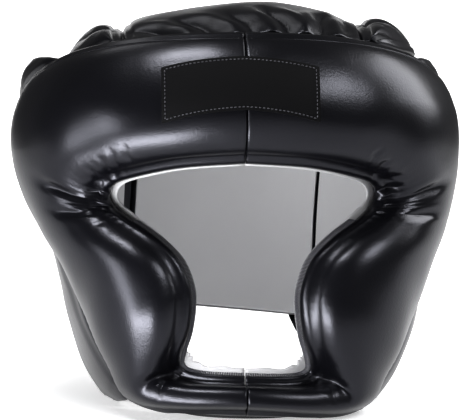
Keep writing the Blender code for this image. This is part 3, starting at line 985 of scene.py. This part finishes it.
def patch_cloth():
    """Dull black leather cloth with a fine, dry grain."""
    made, shader = shaded("patch_cloth")
    shader.inputs["Roughness"].default_value = 0.66
    shader.inputs["Specular IOR Level"].default_value = 0.16
    grain = texture(made, "Noise", 1400, Detail=4)
    raised_by(made, grain.outputs["Fac"], 0.3, 0.00015)
    dark, light = (0.0025, 0.0025, 0.0032, 1), (0.0050, 0.0050, 0.0060, 1)
    coloured_by(made, grain.outputs["Fac"], dark, light)
    return made


PATCH_STEPS = 48
rings = []
for i in range(PATCH_STEPS + 1):
    across = mix(-1, 1, i / PATCH_STEPS)
    x = PATCH_SHIFT + across * PATCH_HALF_WIDTH
    shares = [patch_share(across, j / 16) for j in range(17)]
    top = [patch_place(x, share, PATCH_LIFT + PATCH_THICK) for share in shares]
    under = [patch_place(x, share, PATCH_LIFT) for share in reversed(shares)]
    rings.append([rest(p) for p in top + under])
patch = mesh_of("forehead_patch", rings)
patch.data.set_sharp_from_angle(angle=math.radians(50))
patch.data.materials.append(patch_cloth())
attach(patch, "root")
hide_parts("label_patch")


def thread_material():
    """Waxed grey-black sewing thread."""
    made = bpy.data.materials.get("sewing_thread")
    if made:
        return made
    made, shader = shaded("sewing_thread")
    shader.inputs["Roughness"].default_value = 0.45
    twist = texture(made, "Noise", 900)
    coloured_by(made, twist.outputs["Fac"], (0.035, 0.035, 0.042, 1), (0.10, 0.10, 0.115, 1))
    return made


def stitches(name, starts_and_ends, radius):
    """A row of stitches, each a short thread that dips into the leather at both ends."""
    rings_per, sides = 5, 6
    points, faces = [], []
    for start, end, out in starts_and_ends:
        run = (end - start).normalized()
        aside = run.cross(out).normalized()
        base = len(points)
        for k in range(rings_per):
            t = k / (rings_per - 1)
            bow = math.sin(math.pi * t)
            centre = start.lerp(end, t) + out * radius * (1.6 * bow - 0.7)
            fat = radius * (0.55 + 0.45 * bow)
            for s in range(sides):
                angle = 2 * math.pi * s / sides
                points.append(centre + (aside * math.cos(angle) + out * math.sin(angle)) * fat)
        for k in range(rings_per - 1):
            for s in range(sides):
                t = (s + 1) % sides
                low, high = base + k * sides, base + (k + 1) * sides
                faces.append((low + s, low + t, high + t, high + s))
        faces.append(tuple(base + s for s in reversed(range(sides))))
        faces.append(tuple(base + (rings_per - 1) * sides + s for s in range(sides)))
    made = object_of(name, points, faces)
    made.data.materials.append(thread_material())
    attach(made, "root")
    return made


def sewn_along(path, outs, pitch, fill):
    """Splits a path into stitches of a pitch, each filling a share of it."""
    spans = [(b - a).length for a, b in zip(path, path[1:])]
    total = sum(spans)
    count = max(1, round(total / pitch))

    def at(distance):
        for i, span in enumerate(spans):
            if distance <= span or i == len(spans) - 1:
                share = distance / span
                return path[i].lerp(path[i + 1], share), outs[i].lerp(outs[i + 1], share)
            distance -= span

    made = []
    for i in range(count):
        start, out = at(total * (i + (1 - fill) / 2) / count)
        end, _ = at(total * (i + (1 + fill) / 2) / count)
        made.append((start, end, out.normalized()))
    return made


STITCH_INSET = 0.0019
STITCH_LOW = 0.055
STITCH_HIGH = 0.945
PATCH_PITCH = 0.0021
PATCH_THREAD = 0.00030
THREAD_SHOWS = 0.68


def patch_row(places):
    """Stitches through places on the patch, each a share across and a share of its height."""
    path, outs = [], []
    for across, risen in places:
        share = patch_share(across, risen)
        x = PATCH_SHIFT + across * PATCH_HALF_WIDTH
        here = rest(patch_place(x, share, PATCH_LIFT + PATCH_THICK))
        above = rest(patch_place(x, share, PATCH_LIFT + PATCH_THICK + 0.001))
        path.append(here)
        outs.append((above - here).normalized())
    return sewn_along(path, outs, PATCH_PITCH, THREAD_SHOWS)


def patch_stitches():
    """The four sides of the patch's row of stitches."""
    rows = []
    inner = PATCH_HALF_WIDTH - STITCH_INSET
    margin = STITCH_INSET / (PATCH_HALF_WIDTH * 1.1)
    for risen in (STITCH_LOW, STITCH_HIGH):
        rows += patch_row([(mix(-1, 1, i / 40) * inner / PATCH_HALF_WIDTH, risen) for i in range(41)])
    for across in (-1 + margin, 1 - margin):
        rows += patch_row([(across, mix(STITCH_LOW, STITCH_HIGH, j / 16)) for j in range(17)])
    return rows


stitches("patch_stitches", patch_stitches(), PATCH_THREAD)

# TOP EDGE AND OPENING STITCHES
# Above the patch the leather is folded over into a thin raised edge along the mask's top. Round
# the opening, close whip stitches hold the leather's edge and the lining together.

TOP_EDGE_SHARE = 0.99
TOP_EDGE_FROM = 0.05
TOP_EDGE_TO = 3.9
TOP_EDGE_RADIUS = 0.0006
OPENING_FROM = 7.0
OPENING_TO = 15.97
OPENING_STITCHES = 190
OPENING_THREAD = 0.00028


def mask_line(side, share, first, last, steps):
    """Points and outward directions on the mask's leather at one share across its sections."""
    path, outs = [], []
    for i in range(steps + 1):
        section = mix(first, last, i / steps)
        row = mask_row(section)
        inset = inset_of(width_of(row), EDGE_ROLL)
        place = mask_spot(row, mix(inset, 1 - inset, share))
        thick = mask_thickness(row, section, share, side)
        here = lift(wall, *place, thick)
        low, high = [
            rest(mirrored([here + outward(wall, *place) * extra], side, SEAM_GAP / 4)[0])
            for extra in (-0.0002, 0.001)
        ]
        path.append(low)
        outs.append((high - low).normalized())
    return path, outs


def opening_stitches(side):
    """Close stitches over the opening's edge, each from the leather onto the lining."""
    rows = []
    for i in range(OPENING_STITCHES):
        section = mix(OPENING_FROM, OPENING_TO, i / (OPENING_STITCHES - 1))
        row = mask_row(section)
        width = width_of(row)
        thick = mask_thickness(row, section, 0.0, side)
        spots = [
            lift(wall, *mask_spot(row, 0.0002 / width), thick * 0.35),
            lift(wall, *mask_spot(row, -0.0011 / width), 0.0001 - LINING_GAP),
            lift(wall, *mask_spot(row, -0.0020 / width), thick * 0.35),
        ]
        start, end, over = [rest(p) for p in mirrored(spots, side, SEAM_GAP / 4)]
        rows.append((start, end, (over - start).normalized()))
    return rows


def cord(name, path, outs, radius):
    """A thin raised edge of folded leather along a path."""
    rings = []
    for i, (point, out) in enumerate(zip(path, outs)):
        run = (path[min(i + 1, len(path) - 1)] - path[max(i - 1, 0)]).normalized()
        aside = run.cross(out).normalized()
        angles = [2 * math.pi * k / 8 for k in range(8)]
        rings.append([point + (aside * math.cos(a) + out * math.sin(a)) * radius for a in angles])
    made = mesh_of(name, rings)
    made.data.materials.append(leather())
    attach(made, "root")


for side, label in SIDES:
    path, outs = mask_line(side, TOP_EDGE_SHARE, TOP_EDGE_FROM, TOP_EDGE_TO, 120)
    cord("top_edge_" + label, path, outs, TOP_EDGE_RADIUS)
    stitches("opening_stitches_" + label, opening_stitches(side), OPENING_THREAD)

# CLOSURE STRAP
# A wide strap of doubled leather cloth round the back of the head, over both slits. It is
# pulled across and pressed down on its hook-and-loop fastening, with a sewn edge.

CLOSURE_THICK = 0.003
STRAP_LIFT = 0.0006

Band = namedtuple("Band", "turn low high")
CLOSURE = (
    Band(30, -0.34, 0.02),
    Band(42, -0.54, 0.08),
    Band(52, -0.68, 0.12),
    Band(58, -0.66, 0.13),
    Band(63, -0.56, 0.13),
    Band(69, -0.46, 0.13),
    Band(100, -0.41, 0.13),
    Band(125, -0.40, 0.12),
    Band(142, -0.36, 0.08),
    Band(150, -0.26, 0.00),
)
band_at = columns(CLOSURE, "turn")


def share_between(height, low, high):
    """A height's share of the way between two levels."""
    low, high = up(low), up(high)
    return clamp((height - low) / (high - low))


def pad_over(turn, height):
    """How thick the pad is that lies under the closure strap at a place."""
    turn = min(turn, 180 - turn)
    slit = turn_at(BACK_HALF_WIDTH, height, 1)
    if turn > slit:
        share = share_between(height, SIDE_REACH[-1].low, SIDE_REACH[-1].high)
        return BACK_PAD * (0.5 + 0.5 * dome(share))
    along = min((turn - seam_turn(height)) / (slit - seam_turn(height)), 0.9)
    reach = reach_at(along)
    return side_thickness(along, reach, share_between(height, reach["low"], reach["high"]))


CLOSURE_RINGS = 110
CLOSURE_STEPS = 24
CLOSURE_SEWN = (2, 22)
CLOSURE_PITCH = 0.0032
CLOSURE_THREAD = 0.0003
# The strap bridges what lies this many degrees to either side of a place
BRIDGES = (-9, -4, 0, 4, 9)
rings = []
closure_edges = ([], [])
for i in range(CLOSURE_RINGS + 1):
    turn = mix(CLOSURE[0].turn, CLOSURE[-1].turn, i / CLOSURE_RINGS)
    row = band_at(turn)
    outer, inner = [], []
    for j in range(CLOSURE_STEPS + 1):
        height = mix(up(row["low"]), up(row["high"]), j / CLOSURE_STEPS)
        under = max(pad_over(turn + aside, height) for aside in BRIDGES) + STRAP_LIFT
        edge = math.sin(math.pi * mix(0.04, 0.96, j / CLOSURE_STEPS)) ** 0.25
        outer.append(rest(lift(wall, turn, height, under + CLOSURE_THICK * edge)))
        inner.append(rest(lift(wall, turn, height, under)))
        if j in CLOSURE_SEWN:
            over = rest(lift(wall, turn, height, under + CLOSURE_THICK + 0.001))
            closure_edges[CLOSURE_SEWN.index(j)].append((outer[-1], (over - outer[-1]).normalized()))
    rings.append(outer + inner[::-1])
closure = mesh_of("closure_band", rings)
closure.data.set_sharp_from_angle(angle=math.radians(55))
closure.data.materials.append(leather())
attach(closure, "root")
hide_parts("closure_strap")
closure_rows = []
for row in closure_edges:
    path, outs = zip(*row)
    closure_rows += sewn_along(path, outs, CLOSURE_PITCH, 0.7)
stitches("closure_stitches", closure_rows, CLOSURE_THREAD)

# CHIN STRAP
# A black webbing strap from the tail of one ear panel, down and across the floor behind the
# chin bar, to the other. Its hidden stretch takes the plain way round.

CHIN_STRAP_WIDTH = 0.024

Route = namedtuple("Route", "across back height upright")
CHIN_ROUTE = (
    Route(-1.00, 0.14, 0.36, 1.0),
    Route(-1.00, 0.11, 0.24, 1.0),
    Route(-0.97, 0.04, 0.145, 0.80),
    Route(-0.88, -0.10, 0.100, 0.40),
    Route(-0.75, -0.28, 0.065, 0.10),
    Route(-0.58, -0.48, 0.030, 0.0),
    Route(-0.36, -0.68, 0.004, 0.0),
    Route(-0.10, -0.78, 0.0, 0.0),
    Route(0.22, -0.79, 0.0, 0.0),
    Route(0.46, -0.66, 0.004, 0.0),
    Route(0.64, -0.48, 0.030, 0.0),
    Route(0.79, -0.28, 0.065, 0.10),
    Route(0.90, -0.10, 0.100, 0.40),
    Route(0.97, 0.04, 0.145, 0.80),
    Route(1.00, 0.11, 0.24, 1.0),
    Route(1.00, 0.14, 0.36, 1.0),
)


def over_floor(x, y, height):
    lean = math.radians(LEAN_DEG)
    askew = ease(CHIN_DROP, *SKEWS) * (1 - ease(y, *TWISTS))
    z = (height - STAND + y * math.sin(lean)) / math.cos(lean)
    return Vector((x, y, z + x * math.sin(math.radians(askew * CHIN_TWIST_DEG))))


def chin_place(at):
    numbers = range(len(CHIN_ROUTE))
    across, back, height, upright = (curve(numbers, column, at) for column in zip(*CHIN_ROUTE))
    half = level(-CHIN_DROP)[0] - LINING - CHIN_STRAP_THICK - 3 * GAP
    return across * half, back * INSIDE_FRONT, max(0.0, height) * CHIN_DROP, upright


def webbing():
    """Black ribbed webbing."""
    made, shader = shaded("black_webbing")
    shader.inputs["Roughness"].default_value = 0.7
    ribs = texture(made, "Wave", 260, Distortion=0.6)
    raised_by(made, ribs.outputs["Fac"], 0.5, 0.0004)
    coloured_by(made, ribs.outputs["Fac"], (0.006, 0.006, 0.007, 1), (0.018, 0.018, 0.02, 1))
    return made


CHIN_STEPS = 9
rings = []
for i in range(CHIN_STEPS * (len(CHIN_ROUTE) - 1) + 1):
    at = i / CHIN_STEPS
    x, y, rise, upright = chin_place(at)
    ahead, behind = chin_place(at + 0.1), chin_place(at - 0.1)
    flow = Vector((ahead[0] - behind[0], ahead[1] - behind[1], 0)).normalized()
    side = 1 if x > 0 else -1
    turned = min(1.0, upright)
    width = Vector((0, 0, 1)).cross(flow).lerp(Vector((0, side, 0)), turned).normalized()
    facing = Vector((0, 0, 1)).lerp(Vector((-side, 0, 0)), turned).normalized()
    centre = Vector((x, y, rise))
    outline = [(mix(-1, 1, j / 8), 0) for j in range(9)]
    outline += [(mix(1, -1, j / 8), 1 - 0.3 * abs(mix(1, -1, j / 8)) ** 4) for j in range(9)]
    ring = []
    for across, out in outline:
        spot = centre + width * across * CHIN_STRAP_WIDTH / 2 + facing * out * CHIN_STRAP_THICK
        ring.append(rest(over_floor(spot.x, spot.y, max(spot.z, 0.0))))
    rings.append(ring)
strap = mesh_of("chin_webbing", rings)
strap.data.set_sharp_from_angle(angle=math.radians(50))
strap.data.materials.append(webbing())
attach(strap, "root")
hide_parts("chin_strap")

# FLOOR, LIGHT AND CAMERA
# A pale floor that glows more towards the back, a glowing backdrop, soft lamps low in front,
# over and beside the guard and behind it, two small ones in its hollow, and a camera at eye
# height, a little to the wearer's right, as the picture was taken.

EYE_TURN_DEG = -3.6
EYE_DISTANCE = 1.175
PICTURE_WIDTH = 465
FOCUS_PIXELS = 2042.8
SENSOR_MM = 36


def glowing(name, colour):
    """A dull, pale material that gives off white light."""
    made, shader = shaded(name)
    shader.inputs["Base Color"].default_value = colour
    shader.inputs["Roughness"].default_value = 0.8
    shader.inputs["Emission Color"].default_value = (1, 1, 1, 1)
    return made, shader


bpy.ops.mesh.primitive_plane_add(size=8, location=(0, 0, 0))
floor = bpy.context.object
floor.name = "studio_floor"
# Painted light: the floor gives off light of its own, none from 0.45 m in front of the guard, rising
# to its full glow 0.15 m behind the guard's middle
white, floor_glow_shader = glowing("studio_floor_glow", (0.80, 0.80, 0.81, 1))
nodes, links = white.node_tree.nodes, white.node_tree.links
place = nodes.new("ShaderNodeTexCoord")
split = nodes.new("ShaderNodeSeparateXYZ")
links.new(place.outputs["Object"], split.inputs["Vector"])
glow_towards_back = nodes.new("ShaderNodeMapRange")
glow_towards_back.inputs["From Min"].default_value = -0.45
glow_towards_back.inputs["From Max"].default_value = 0.15
glow_towards_back.inputs["To Max"].default_value = 0.82
links.new(split.outputs["Y"], glow_towards_back.inputs["Value"])
links.new(glow_towards_back.outputs["Result"], floor_glow_shader.inputs["Emission Strength"])
floor.data.materials.append(white)

BACKDROP_AT = (0, 2.4, 0.45)
bpy.ops.mesh.primitive_plane_add(size=1, location=BACKDROP_AT, rotation=(math.pi / 2, 0, 0))
backdrop = bpy.context.object
backdrop.name = "studio_backdrop"
backdrop.scale = (1.5, 0.9, 1)
glow, glow_shader = glowing("studio_glow", (0.9, 0.9, 0.9, 1))
glow_shader.inputs["Emission Strength"].default_value = 1.0
backdrop.data.materials.append(glow)

world = bpy.data.worlds.new("studio_air")
world.use_nodes = True
world.node_tree.nodes["Background"].inputs["Color"].default_value = (1, 1, 1, 1)
world.node_tree.nodes["Background"].inputs["Strength"].default_value = 0.14
bpy.context.scene.world = world
bpy.context.scene.view_settings.view_transform = "Standard"
bpy.context.scene.view_settings.gamma = 0.82


def softbox(name, place, aim, width, height, power):
    """A soft lamp of a width, height and power, at a place and aimed at a point."""
    lamp = bpy.data.lights.new(name, "AREA")
    lamp.shape = "RECTANGLE"
    lamp.size = width
    lamp.size_y = height
    lamp.energy = power
    made = placed(name, lamp)
    made.location = place
    made.rotation_euler = (Vector(place) - Vector(aim)).to_track_quat("Z", "Y").to_euler()


GUARD = (0.0, 0.0, 0.12)
softbox("low_front", (-0.135, -0.235, 0.012), (-0.051, -0.113, 0.145), 0.16, 0.08, 1.0)
softbox("low_left", (-0.56, -0.40, 0.11), (-0.07, -0.1, 0.15), 0.20, 0.25, 1.6)
softbox("over", (-0.25, -0.33, 1.05), GUARD, 0.25, 0.25, 5.5)
softbox("right_high", (0.95, 0.16, 0.76), GUARD, 0.6, 0.7, 9)
softbox("right_front", (0.62, -0.62, 0.80), GUARD, 0.3, 0.3, 4)
softbox("hollow_fill", (0.0, -0.045, 0.115), (0.03, 0.09, 0.14), 0.05, 0.03, 0.085)
softbox("hollow_spot", (0.032, 0.015, 0.130), (0.027, 0.09, 0.124), 0.02, 0.02, 0.014)
softbox("crown_back", (-0.42, 0.45, 1.15), GUARD, 0.3, 0.3, 0.6)

turned = math.radians(EYE_TURN_DEG)
eye = leaned(math.sin(turned) * EYE_DISTANCE, -math.cos(turned) * EYE_DISTANCE, 0) - MIDDLE
aim = leaned(0, 0, 0) - MIDDLE
camera_data = bpy.data.cameras.new("camera")
camera_data.sensor_width = SENSOR_MM
camera_data.lens = SENSOR_MM * FOCUS_PIXELS / PICTURE_WIDTH
camera_data.clip_start = 0.05
camera_data.clip_end = 20
camera = placed("camera", camera_data)
camera.location = eye
camera.rotation_euler = (aim - eye).to_track_quat("-Z", "Y").to_euler()
bpy.context.scene.camera = camera
